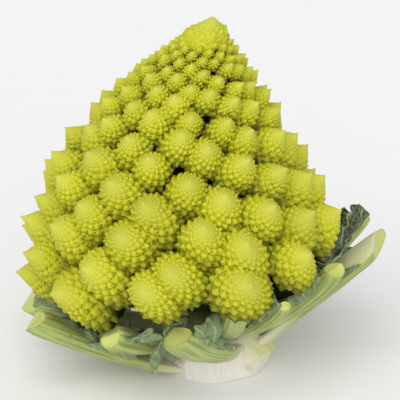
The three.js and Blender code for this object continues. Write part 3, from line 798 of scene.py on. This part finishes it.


# The leaves.
# Each is cut back to a stub of its thick midrib, the petiole, which grows out of the stem in a broad
# pale base and is hollowed on its inner side. Torn scraps of the ruffled blade are left beside it.

# The leaves in turn, from the front round to the right and on behind. Width and depth are those at root
# and tip. The path is the root, bow and tip of a curve, each as its reach, height and shift aside. The
# cut is how far the end slopes up its depth and across its width. Where they are given, base is how much
# the root flares or narrows, ridge the angle of the ridge across the cut end, torn how pale and bare the
# inner side is, and shade how far painted shade darkens the blade.
# A scrap of blade has its side of the midrib, the stretch of it that it grows along, its width, how its
# foot is lifted and how much it curls from there, in degrees, and the height of its ruffles.
LEAVES = [
    {
        "node": "leaf_front", "azimuth": -15, "width": (30, 17), "depth": (11, 13), "cut": (-0.5, 0.3),
        "base": -0.4,
        "path": [(19, 19, 12), (46, 26, 7), (68, 44, 0)],
        "blades": [
            {"side": -1, "from": 0.4, "to": 0.85, "width": 16, "lift": 15, "curl": -60, "ruffle": 2},
            {"side": 1, "from": 0.5, "to": 0.95, "width": 15, "lift": 40, "curl": 35, "ruffle": 1.5},
            {"side": -1, "from": 0.72, "to": 0.99, "width": 11, "lift": 75, "curl": 40, "ruffle": 1.6},
        ],
    },
    {
        "node": "leaf_front_inner", "azimuth": 11, "width": (17, 10), "depth": (9, 7), "cut": (-0.35, 0),
        "path": [(17, 29, 0), (56, 34, 0), (62, 66, 0)],
        "blades": [
            {"side": -1, "from": 0.55, "to": 0.98, "width": 8, "lift": 30, "curl": 60, "ruffle": 1.6},
            {"side": 1, "from": 0.5, "to": 0.98, "width": 10, "lift": 30, "curl": 50, "ruffle": 1.6},
        ],
    },
    {
        "node": "leaf_front_right", "azimuth": 31, "width": (15, 6), "depth": (8, 5), "cut": (0, 0.4),
        "path": [(18, 26, 0), (46, 34, 0), (65, 55, 0)],
        "blades": [
            {"side": -1, "from": 0.5, "to": 1, "width": 13, "lift": 35, "curl": 40, "ruffle": 2.2},
            {"side": 1, "from": 0.5, "to": 0.95, "width": 9, "lift": 20, "curl": 20, "ruffle": 1.5},
        ],
    },
    {
        "node": "leaf_right_inner", "azimuth": 65, "width": (17, 13), "depth": (8, 10), "cut": (-0.3, 0.2),
        "path": [(18, 24, 0), (48, 37, 0), (64, 62, 0)],
        "blades": [
            {"side": -1, "from": 0.5, "to": 0.9, "width": 15, "lift": 10, "curl": 100, "ruffle": 1},
            {"side": 1, "from": 0.6, "to": 0.98, "width": 8, "lift": 55, "curl": 20, "ruffle": 1.2},
        ],
    },
    {
        "node": "leaf_right", "azimuth": 91, "width": (38, 20), "depth": (11, 9), "cut": (0.45, 0.5),
        "base": -0.12, "torn": 0.85, "ridge": 1.3, "shade": 0.6,
        "path": [(17, 15, -4), (50, 39, 0), (82, 65, 0)],
        "blades": [
            {"side": -1, "from": 0.12, "to": 0.55, "width": 9, "lift": 50, "curl": 15, "ruffle": 0.8},
        ],
    },
    {
        "node": "leaf_back_right", "azimuth": 118, "width": (24, 14), "depth": (9, 8), "cut": (0.2, -0.2),
        "shade": 0.95,
        "path": [(18, 21, 0), (53, 33, 0), (87, 66, 0)],
        "blades": [
            {"side": -1, "from": 0.55, "to": 1, "width": 19, "lift": 45, "curl": 40, "ruffle": 2.4},
            {"side": 1, "from": 0.5, "to": 0.95, "width": 12, "lift": 30, "curl": 30, "ruffle": 2},
        ],
    },
    {
        "node": "leaf_back_a", "azimuth": 148, "width": (33, 19), "depth": (10, 10), "cut": (0.2, 0.4),
        "path": [(18, 10, 0), (48, 20, 0), (80, 46, 0)],
        "blades": [
            {"side": 1, "from": 0.4, "to": 0.9, "width": 13, "lift": 20, "curl": 50, "ruffle": 1.8},
        ],
    },
    {
        "node": "leaf_back_b", "azimuth": 176, "width": (19, 14), "depth": (9, 10), "cut": (-0.2, -0.3),
        "path": [(18, 22, 0), (50, 31, 0), (73, 55, 0)],
        "blades": [
            {"side": -1, "from": 0.5, "to": 0.95, "width": 12, "lift": 30, "curl": 45, "ruffle": 2},
            {"side": 1, "from": 0.45, "to": 0.9, "width": 14, "lift": 15, "curl": 30, "ruffle": 1.8},
        ],
    },
    {
        "node": "leaf_back_c", "azimuth": -155, "width": (33, 20), "depth": (10, 10), "cut": (0.3, -0.3),
        "path": [(18, 9, 0), (48, 17, 0), (82, 40, 0)],
        "blades": [
            {"side": -1, "from": 0.45, "to": 0.9, "width": 12, "lift": 25, "curl": 40, "ruffle": 1.8},
        ],
    },
    {
        "node": "leaf_back_left", "azimuth": -126, "width": (20, 14), "depth": (9, 9), "cut": (0, 0.3),
        "path": [(18, 22, 0), (50, 28, 0), (78, 48, 0)],
        "blades": [
            {"side": -1, "from": 0.5, "to": 0.95, "width": 13, "lift": 25, "curl": 45, "ruffle": 2},
            {"side": 1, "from": 0.5, "to": 0.85, "width": 11, "lift": 20, "curl": 30, "ruffle": 1.5},
        ],
    },
    {
        "node": "leaf_left", "azimuth": -97, "width": (26, 18), "depth": (9, 11), "cut": (-0.35, -0.4),
        "path": [(18, 19, 0), (54, 20, 0), (93, 30, 0)],
        "blades": [
            {"side": 1, "from": 0.7, "to": 0.95, "width": 18, "lift": 88, "curl": -25, "ruffle": 1.2},
        ],
    },
    {
        "node": "leaf_left_front", "azimuth": -69, "width": (38, 24), "depth": (9, 11), "cut": (-0.55, 0.3),
        "base": -0.22, "ridge": 1.2,
        "path": [(17, 4, 0), (50, 14, 0), (92, 38, 0)],
        "blades": [
            {"side": -1, "from": 0.45, "to": 0.75, "width": 10, "lift": 60, "curl": 50, "ruffle": 1.2},
            {"side": 1, "from": 0.5, "to": 0.78, "width": 10, "lift": 75, "curl": 60, "ruffle": 1.8},
        ],
    },
    {
        "node": "leaf_front_left", "azimuth": -42, "width": (18, 14), "depth": (8, 13), "cut": (-0.35, 0.25),
        "path": [(18, 23, 0), (46, 24, 0), (72, 39, 0)],
        "blades": [
            {"side": -1, "from": 0.6, "to": 0.9, "width": 11, "lift": 10, "curl": -20, "ruffle": 1.4},
            {"side": 1, "from": 0.6, "to": 0.95, "width": 15, "lift": 20, "curl": 10, "ruffle": 2.2},
        ],
    },
]

# Along a petiole, from its root, which tapers and is pulled in to the axis inside the stem, to its end.
PETIOLE_SIDES = 48
PETIOLE_STEPS = 36
PETIOLE_START = -0.2
BASE_FLARE = 0.22
BASE_LENGTH = 0.16
ROOT_TAPER = 3.5
ROOT_PULL = 4.0
END_ROUNDING = {"from": 0.94, "over": 0.06, "share": 0.12}
FLOOR_CLEARANCE = 0.4

# Round a petiole: how full it is below and above, how square, its lumps and ribs, and its hollow.
FULL_BELOW = 0.62
FULL_ABOVE = 0.4
SQUARENESS = 0.85
LUMPINESS = 0.03
RIBS = 9
RIB_HEIGHT = 0.3
RIB_WANDER = 0.6
CHANNEL_DEPTH = 0.3
CHANNEL_FADE = (0.45, 0.8)
CHANNEL_END = -0.2

# The cut end is two faces that meet in a ridge, a little dished. Its slope comes in along the petiole.
CAP_RINGS = (0.98, 0.8, 0.6, 0.4, 0.2, 0.0)
CUT_ONSET = 4
CUT_FACET = 0.4
CUT_DISH = 0.5

# Thickness is at the foot and at the edge. A scrap's outline is an arch with notches, each with a depth
# and a pace, and it ripples in large waves, in small ones at its edge, and in blisters between its veins.
BLADE_GRID = (40, 10)
BLADE_THICKNESS = (1.4, 0.7)
BLADE_FOOT = 0.36
BLADE_WAVES = 2.5
BLADE_ARCH = {"start": 0.12, "run": 0.8, "fullness": 0.7}
NOTCHES = {"coarse": (0.16, 9), "fine": (0.08, 23), "finest": (0.07, 41)}
TEARS = 2.6
EDGE_WAVES = 7
EDGE_RUFFLE = 0.4
BLISTER_HEIGHT = 0.35

# The torn foot of the blade is left along both edges of each midrib as a narrow frill.
FRILL = {"from": 0.32, "to": 0.84, "width": 5.5, "lift": 50, "curl": 45, "ruffle": 1.6, "tear": 0.85}
FRILL_THICKNESS = (1.2, 0.6)
FRILL_GRID = (40, 4)
FRILL_FOOT = 0.47
FRILL_WIDTHS = (0.6, 1.2)
FRILL_RUFFLES = (0.7, 1.4)

# The tones of a petiole are whether a point is on the cut end, how far out it is against TONE_REACH (on
# the cut end how near the rim), where across it lies, and how torn it is. Those of a blade are how much
# painted shade darkens it, and the places along and across it from which its veins are drawn.
TONE_REACH = 100
VEIN_LENGTH = 60
VEIN_WIDTH = 30
# The painted shade on a leaf's blades where the leaf gives none of its own.
BLADE_SHADE = 0.25
LEAF_SEED = 100


def petiole_frame(leaf, share):
    """Centre, directions, width and depth of a petiole at a share of its length."""
    azimuth = math.radians(leaf["azimuth"])
    out = outward(azimuth)
    aside = outward(azimuth + math.pi / 2)
    root, bow, tip = (out * reach + aside * shift + [0, 0, height] for reach, height, shift in leaf["path"])
    kept = max(share, 0)
    centre = (1 - kept) ** 2 * root + 2 * kept * (1 - kept) * bow + kept**2 * tip
    along = 2 * (1 - kept) * (bow - root) + 2 * kept * (tip - bow)
    centre[:2] *= 1 + ROOT_PULL * min(share, 0)
    along = along / np.linalg.norm(along)
    up = np.cross(along, aside)
    up = up / np.linalg.norm(up)
    width = leaf["width"][0] + (leaf["width"][1] - leaf["width"][0]) * math.sqrt(max(share, 0))
    depth = leaf["depth"][0] + (leaf["depth"][1] - leaf["depth"][0]) * share
    return centre, along, aside, up, width, depth


def petiole(leaf, vary):
    """Round and ribbed below, hollowed above, and ended by two knife cuts that meet in a low ridge."""
    points, tones = [], []
    phase = vary.uniform(0, ANY_TURN, 4)
    ridge = leaf.get("ridge", phase[1])

    def cut_end(across, high):
        beside = abs(across * math.cos(ridge) + high * math.sin(ridge))
        return leaf["cut"][0] * high + leaf["cut"][1] * across - CUT_FACET * beside

    for share in np.linspace(PETIOLE_START, 1, PETIOLE_STEPS + 1):
        centre, along, aside, up, width, depth = petiole_frame(leaf, share)
        kept = max(share, 0)
        base = leaf.get("base", BASE_FLARE) * math.exp(-((kept / BASE_LENGTH) ** 2))
        flare = 1 + base + ROOT_TAPER * min(share, 0)
        rounding = max(0, (share - END_ROUNDING["from"]) / END_ROUNDING["over"])
        flare *= 1 - END_ROUNDING["share"] * rounding**2
        channel = CHANNEL_DEPTH * float(np.interp(kept, CHANNEL_FADE, (1, CHANNEL_END)))
        for side in range(PETIOLE_SIDES):
            turn = 2 * math.pi * side / PETIOLE_SIDES
            lump = 0.5 * math.sin(5 * share + phase[2] + 2 * turn) + 0.3 * math.sin(11 * share + phase[3])
            swell = flare * (1 + LUMPINESS * lump)
            wide, tall = math.cos(turn), math.sin(turn)
            across = width / 2 * math.copysign(abs(wide) ** SQUARENESS, wide) * swell
            if tall < 0:
                wander = RIB_WANDER * math.sin(4 * share)
                rib = RIB_HEIGHT * abs(math.sin(RIBS * turn + phase[0] + wander))
                high = -FULL_BELOW * depth * abs(tall) ** SQUARENESS * swell + rib
            else:
                high = (FULL_ABOVE * depth * tall - channel * depth * tall**3) * swell
            onset = kept**CUT_ONSET
            place = centre + aside * across + up * high + along * onset * cut_end(across, high)
            place[2] = max(place[2], FLOOR_CLEARANCE)
            points.append(place)
            torn = leaf.get("torn", 0.0) * max(0.0, tall) ** 0.5
            tones.append([0, math.hypot(place[0], place[1]) / TONE_REACH, 0.5 + 0.5 * wide, torn])
    faces = tube_faces(PETIOLE_STEPS + 1, PETIOLE_SIDES)
    centre, along, aside, up, _, _ = petiole_frame(leaf, 1)
    rim = np.array(points[-PETIOLE_SIDES:])
    for share in CAP_RINGS:
        for corner in rim:
            across = np.dot(corner - centre, aside) * share
            high = np.dot(corner - centre, up) * share
            end = cut_end(across, high) - CUT_DISH * (1 - share**2)
            points.append(centre + aside * across + up * high + along * end)
            tones.append([1, share, 0, 0])
    caps = tube_faces(len(CAP_RINGS) + 1, PETIOLE_SIDES, PETIOLE_STEPS * PETIOLE_SIDES)
    return np.array(points), np.concatenate([faces, caps]), np.array(tones)


def notch(kind, u, phase):
    """How much one sort of notch adds to the outline of a scrap."""
    depth, pace = NOTCHES[kind]
    return depth * math.sin(pace * u + phase)


def blade_point(leaf, blade, u, v, phase, foot):
    """Middle surface of a blade scrap: u runs along the petiole, v out from it to a torn, ruffled edge."""
    share = blade["from"] + (blade["to"] - blade["from"]) * u
    centre, _, aside, up, width, _ = petiole_frame(leaf, share)
    azimuth = leaf["azimuth"]
    arch = math.sin(math.pi * (BLADE_ARCH["start"] + BLADE_ARCH["run"] * u))
    torn = max(0.0, arch) ** BLADE_ARCH["fullness"] * (1 + notch("coarse", u, azimuth))
    torn *= 1 + notch("fine", u, phase[0]) + notch("finest", u, phase[1])
    torn *= 1 - blade.get("tear", 0) * (0.5 + 0.5 * math.sin(2 * math.pi * TEARS * u + phase[2]))
    reach = v * blade["width"] * torn
    lift = math.radians(blade["lift"] + blade["curl"] * v)
    wave = blade["ruffle"] * v * math.sin(2 * math.pi * BLADE_WAVES * u + azimuth)
    wave += EDGE_RUFFLE * blade["ruffle"] * v * v * math.sin(2 * math.pi * EDGE_WAVES * u + phase[2])
    blister = math.sin(17 * u + 5 * v + phase[0]) * math.sin(9 * v + 8 * u + phase[1])
    wave += BLISTER_HEIGHT * blister * min(1, 3 * v)
    return (
        centre
        + aside * blade["side"] * (foot * width + reach * math.cos(lift) - wave * math.sin(lift))
        + up * (reach * math.sin(lift) + wave * math.cos(lift))
    )


def blade_sheet(leaf, blade, vary, foot=BLADE_FOOT, thickness=BLADE_THICKNESS, grid=BLADE_GRID):
    """A closed sheet round the middle surface. Its foot is this share of the petiole's width aside."""
    phase = vary.uniform(0, ANY_TURN, 3)
    along, across = grid
    steps_u = np.linspace(0, 1, along + 1)
    steps_v = np.linspace(0, 1, across + 1)
    middle = np.array([
        [blade_point(leaf, blade, u, v, phase, foot) for v in steps_v] for u in steps_u
    ])
    normal = np.cross(np.gradient(middle, axis=0), np.gradient(middle, axis=1)) * -blade["side"]
    normal /= np.maximum(np.linalg.norm(normal, axis=2, keepdims=True), 1e-9)
    half = (thickness[0] + (thickness[1] - thickness[0]) * steps_v[None, :, None]) / 2
    upper = (middle + normal * half).reshape(-1, 3)
    lower = (middle - normal * half).reshape(-1, 3)
    length = (blade["to"] - blade["from"]) * VEIN_LENGTH
    # The painted shade on this leaf's blades.
    shade = leaf.get("shade", BLADE_SHADE)
    tone = np.array([
        [[shade, u * length / TONE_REACH, v * blade["width"] / VEIN_WIDTH, 1] for v in steps_v]
        for u in steps_u
    ]).reshape(-1, 4)
    row = across + 1
    below = len(upper)
    faces = []
    for i in range(along):
        for j in range(across):
            a = i * row + j
            faces.append([a, a + 1, a + row + 1, a + row])
            faces.append([below + a, below + a + row, below + a + row + 1, below + a + 1])
    rim = list(range(row)) + [i * row + across for i in range(1, along + 1)]
    rim += [along * row + j for j in range(across - 1, -1, -1)] + [i * row for i in range(along - 1, 0, -1)]
    for a, b in zip(rim, rim[1:] + rim[:1]):
        faces.append([a, below + a, below + b, b])
    faces = np.array(faces)
    if blade["side"] < 0:
        faces = faces[:, ::-1]
    return np.concatenate([upper, lower]), faces, np.concatenate([tone, tone])


def frills(leaf, vary):
    """The narrow torn edge on each side of a midrib."""
    sheets = []
    for side in (-1, 1):
        frill = dict(FRILL, side=side, ruffle=FRILL["ruffle"] * vary.uniform(*FRILL_RUFFLES))
        frill["width"] *= vary.uniform(*FRILL_WIDTHS)
        sheets.append(blade_sheet(leaf, frill, vary, FRILL_FOOT, FRILL_THICKNESS, FRILL_GRID))
    return sheets


# Petiole tissue, grown and cut: pale green, whitening towards the stem, with about 22 streaks across it
# that run its length, cream where the blade was torn off, and pale yellow-green with a darker rim where
# the knife went through.
petiole_tissue = new_material("petiole_tissue")
tones = add_node(petiole_tissue, "Attribute", {"attribute_name": "tones"}, {})
tone = add_node(petiole_tissue, "SeparateColor", {}, {0: tones.outputs["Color"]})
place = add_node(petiole_tissue, "TexCoord", {}, {})
mottle = add_node(petiole_tissue, "TexNoise", {}, {
    "Vector": place.outputs["Object"], "Scale": 1000 / 7, "Detail": 4,
})
lengthwise = add_node(petiole_tissue, "CombineXYZ", {}, {0: tone.outputs[1], 1: tone.outputs[2], 2: 0.0})
stretched = add_node(petiole_tissue, "Mapping", {}, {0: lengthwise.outputs[0], "Scale": (4, 22, 1)})
streaks = add_node(petiole_tissue, "TexNoise", {}, {
    "Vector": stretched.outputs[0], "Scale": 1.0, "Detail": 4,
})
streaking = add_node(petiole_tissue, "MapRange", {}, {
    0: streaks.outputs[0], 1: 0.38, 2: 0.62, 3: 0.0, 4: 1.0,
})
grown = add_node(petiole_tissue, "Mix", {"data_type": "RGBA"}, {
    0: streaking.outputs[0], 6: linear("#8B9B48"), 7: linear("#BCC67E"),
})
blotched = add_node(petiole_tissue, "Mix", {"data_type": "RGBA", "blend_type": "MULTIPLY"}, {
    0: 0.15, 6: grown.outputs[2], 7: mottle.outputs[1],
})
whitening = add_node(petiole_tissue, "MapRange", {}, {
    0: tone.outputs[1], 1: 0.22, 2: 0.46, 3: 0.95, 4: 0.0,
})
whitened = add_node(petiole_tissue, "Mix", {"data_type": "RGBA"}, {
    0: whitening.outputs[0], 6: blotched.outputs[2], 7: linear("#E9E5D0"),
})
torn = add_node(petiole_tissue, "Mix", {"data_type": "RGBA"}, {
    0: tones.outputs["Alpha"], 6: whitened.outputs[2], 7: linear("#D3D3AA"),
})
cut = add_node(petiole_tissue, "Mix", {"data_type": "RGBA"}, {
    0: mottle.outputs[0], 6: linear("#B2BC4C"), 7: linear("#DADC8C"),
})
rimming = add_node(petiole_tissue, "MapRange", {}, {0: tone.outputs[1], 1: 0.85, 2: 1.0, 3: 0.0, 4: 0.7})
rimmed = add_node(petiole_tissue, "Mix", {"data_type": "RGBA"}, {
    0: rimming.outputs[0], 6: cut.outputs[2], 7: linear("#8E9C44"),
})
coloured = add_node(petiole_tissue, "Mix", {"data_type": "RGBA"}, {
    0: tone.outputs[0], 6: torn.outputs[2], 7: rimmed.outputs[2],
})
relief = add_node(petiole_tissue, "Bump", {}, {
    "Height": streaks.outputs[0], "Strength": 0.5, "Distance": 0.0008,
})
skin = add_node(petiole_tissue, "BsdfPrincipled", {}, {
    "Base Color": coloured.outputs[2],
    "Roughness": 0.4,
    "IOR": 1.42,
    "Subsurface Weight": 0.12,
    "Subsurface Radius": (0.8, 1.0, 0.4),
    "Subsurface Scale": 0.0015,
    "Normal": relief.outputs[0],
})
add_node(petiole_tissue, "OutputMaterial", {}, {"Surface": skin.outputs[0]})

# Blade tissue, grown: blue-green under a patchy grey bloom of wax, darkened by painted shade, most on the
# leaves in the shade of the head, with raised pale side veins 9 mm apart that run slantwise to the edge
# and a net of fine ones 2.6 mm apart.
blade_tissue = new_material("blade_tissue")
tones = add_node(blade_tissue, "Attribute", {"attribute_name": "tones"}, {})
tone = add_node(blade_tissue, "SeparateColor", {}, {0: tones.outputs["Color"]})
place = add_node(blade_tissue, "TexCoord", {}, {})
bloom = add_node(blade_tissue, "TexNoise", {}, {
    "Vector": place.outputs["Object"], "Scale": 1000 / 12, "Detail": 5,
})
net = add_node(blade_tissue, "TexVoronoi", {"feature": "DISTANCE_TO_EDGE"}, {
    "Vector": place.outputs["Object"], "Scale": 1000 / 2.6,
})
netting = add_node(blade_tissue, "MapRange", {}, {0: net.outputs[0], 1: 0.0, 2: 0.1, 3: 0.35, 4: 0.0})
slope = add_node(blade_tissue, "Math", {"operation": "MULTIPLY_ADD"}, {
    0: tone.outputs[2], 1: -0.22, 2: tone.outputs[1],
})
repeat = add_node(blade_tissue, "Math", {"operation": "PINGPONG"}, {0: slope.outputs[0], 1: 0.045})
veining = add_node(blade_tissue, "MapRange", {}, {0: repeat.outputs[0], 1: 0.0, 2: 0.007, 3: 0.8, 4: 0.0})
veins = add_node(blade_tissue, "Math", {"operation": "MAXIMUM"}, {
    0: veining.outputs[0], 1: netting.outputs[0],
})
waxed = add_node(blade_tissue, "Mix", {"data_type": "RGBA"}, {
    0: bloom.outputs[0], 6: linear("#587640"), 7: linear("#A9BA88"),
})
# Painted shade: the blade darkened towards deep green by its leaf's share of shade.
shaded = add_node(blade_tissue, "Mix", {"data_type": "RGBA"}, {
    0: tone.outputs[0], 6: waxed.outputs[2], 7: linear("#27361A"),
})
veined = add_node(blade_tissue, "Mix", {"data_type": "RGBA"}, {
    0: veins.outputs[0], 6: shaded.outputs[2], 7: linear("#B4C196"),
})
relief = add_node(blade_tissue, "Bump", {}, {
    "Height": veins.outputs[0], "Strength": 0.5, "Distance": 0.0005,
})
skin = add_node(blade_tissue, "BsdfPrincipled", {}, {
    "Base Color": veined.outputs[2],
    "Roughness": 0.5,
    "IOR": 1.42,
    "Normal": relief.outputs[0],
})
add_node(blade_tissue, "OutputMaterial", {}, {"Surface": skin.outputs[0]})

for number, leaf in enumerate(LEAVES):
    vary = np.random.default_rng(LEAF_SEED + number)
    stub = petiole(leaf, vary)
    scraps = [blade_sheet(leaf, blade, vary) for blade in leaf["blades"]] + frills(leaf, vary)
    piece = mesh_object(leaf["node"] + "_grown", *joined([stub] + scraps))
    piece.data.materials.append(petiole_tissue)
    piece.data.materials.append(blade_tissue)
    slots = np.arange(len(piece.data.polygons)) >= len(stub[1])
    piece.data.polygons.foreach_set("material_index", slots.astype(np.int32))
    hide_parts(leaf["node"])
    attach(piece, "root")


# The floor and the light.
# Pale, even studio light: a broad soft lamp high at the front left, a weaker one low at the front right,
# and the room's own white. The floor is a wide pale sheet of paper, six metres each way.

FLOOR_SIZE = 6.0
ROOM_BRIGHTNESS = 0.56

# Matt paper: near white, with a faint unevenness 25 mm wide so that it isn't one flat tone.
floor_paper = new_material("floor_paper")
place = add_node(floor_paper, "TexCoord", {}, {})
tooth = add_node(floor_paper, "TexNoise", {}, {
    "Vector": place.outputs["Object"], "Scale": 1000 / 25, "Detail": 2,
})
paper = add_node(floor_paper, "Mix", {"data_type": "RGBA"}, {
    0: tooth.outputs[0], 6: linear("#F6F6F6"), 7: linear("#F8F8F8"),
})
sheet = add_node(floor_paper, "BsdfPrincipled", {}, {"Base Color": paper.outputs[2], "Roughness": 0.9})
add_node(floor_paper, "OutputMaterial", {}, {"Surface": sheet.outputs[0]})

half = FLOOR_SIZE / 2
floor_mesh = bpy.data.meshes.new("floor")
corners = [(-half, -half, 0), (half, -half, 0), (half, half, 0), (-half, half, 0)]
floor_mesh.from_pydata(corners, [], [(0, 1, 2, 3)])
floor = bpy.data.objects.new("floor", floor_mesh)
floor.data.materials.append(floor_paper)
bpy.context.scene.collection.objects.link(floor)

# The lamps: where each stands seen from the head, how wide its light is in degrees, and its strength.
LAMPS = [
    {"name": "key", "azimuth": -20, "elevation": 46, "softness": 55, "strength": 1.6},
    {"name": "fill", "azimuth": 15, "elevation": 12, "softness": 50, "strength": 0.8},
]
for lamp in LAMPS:
    light = bpy.data.lights.new(lamp["name"], "SUN")
    light.angle = math.radians(lamp["softness"])
    light.energy = lamp["strength"]
    holder = bpy.data.objects.new(lamp["name"], light)
    height = math.radians(lamp["elevation"])
    towards = outward(math.radians(lamp["azimuth"])) * math.cos(height) + [0, 0, math.sin(height)]
    holder.rotation_euler = Vector(towards).to_track_quat("Z", "Y").to_euler()
    bpy.context.scene.collection.objects.link(holder)

room = bpy.data.worlds.new("room")
room.use_nodes = True
room.node_tree.nodes["Background"].inputs[0].default_value = (1, 1, 1, 1)
room.node_tree.nodes["Background"].inputs[1].default_value = ROOM_BRIGHTNESS
bpy.context.scene.world = room
bpy.context.scene.view_settings.view_transform = "Standard"
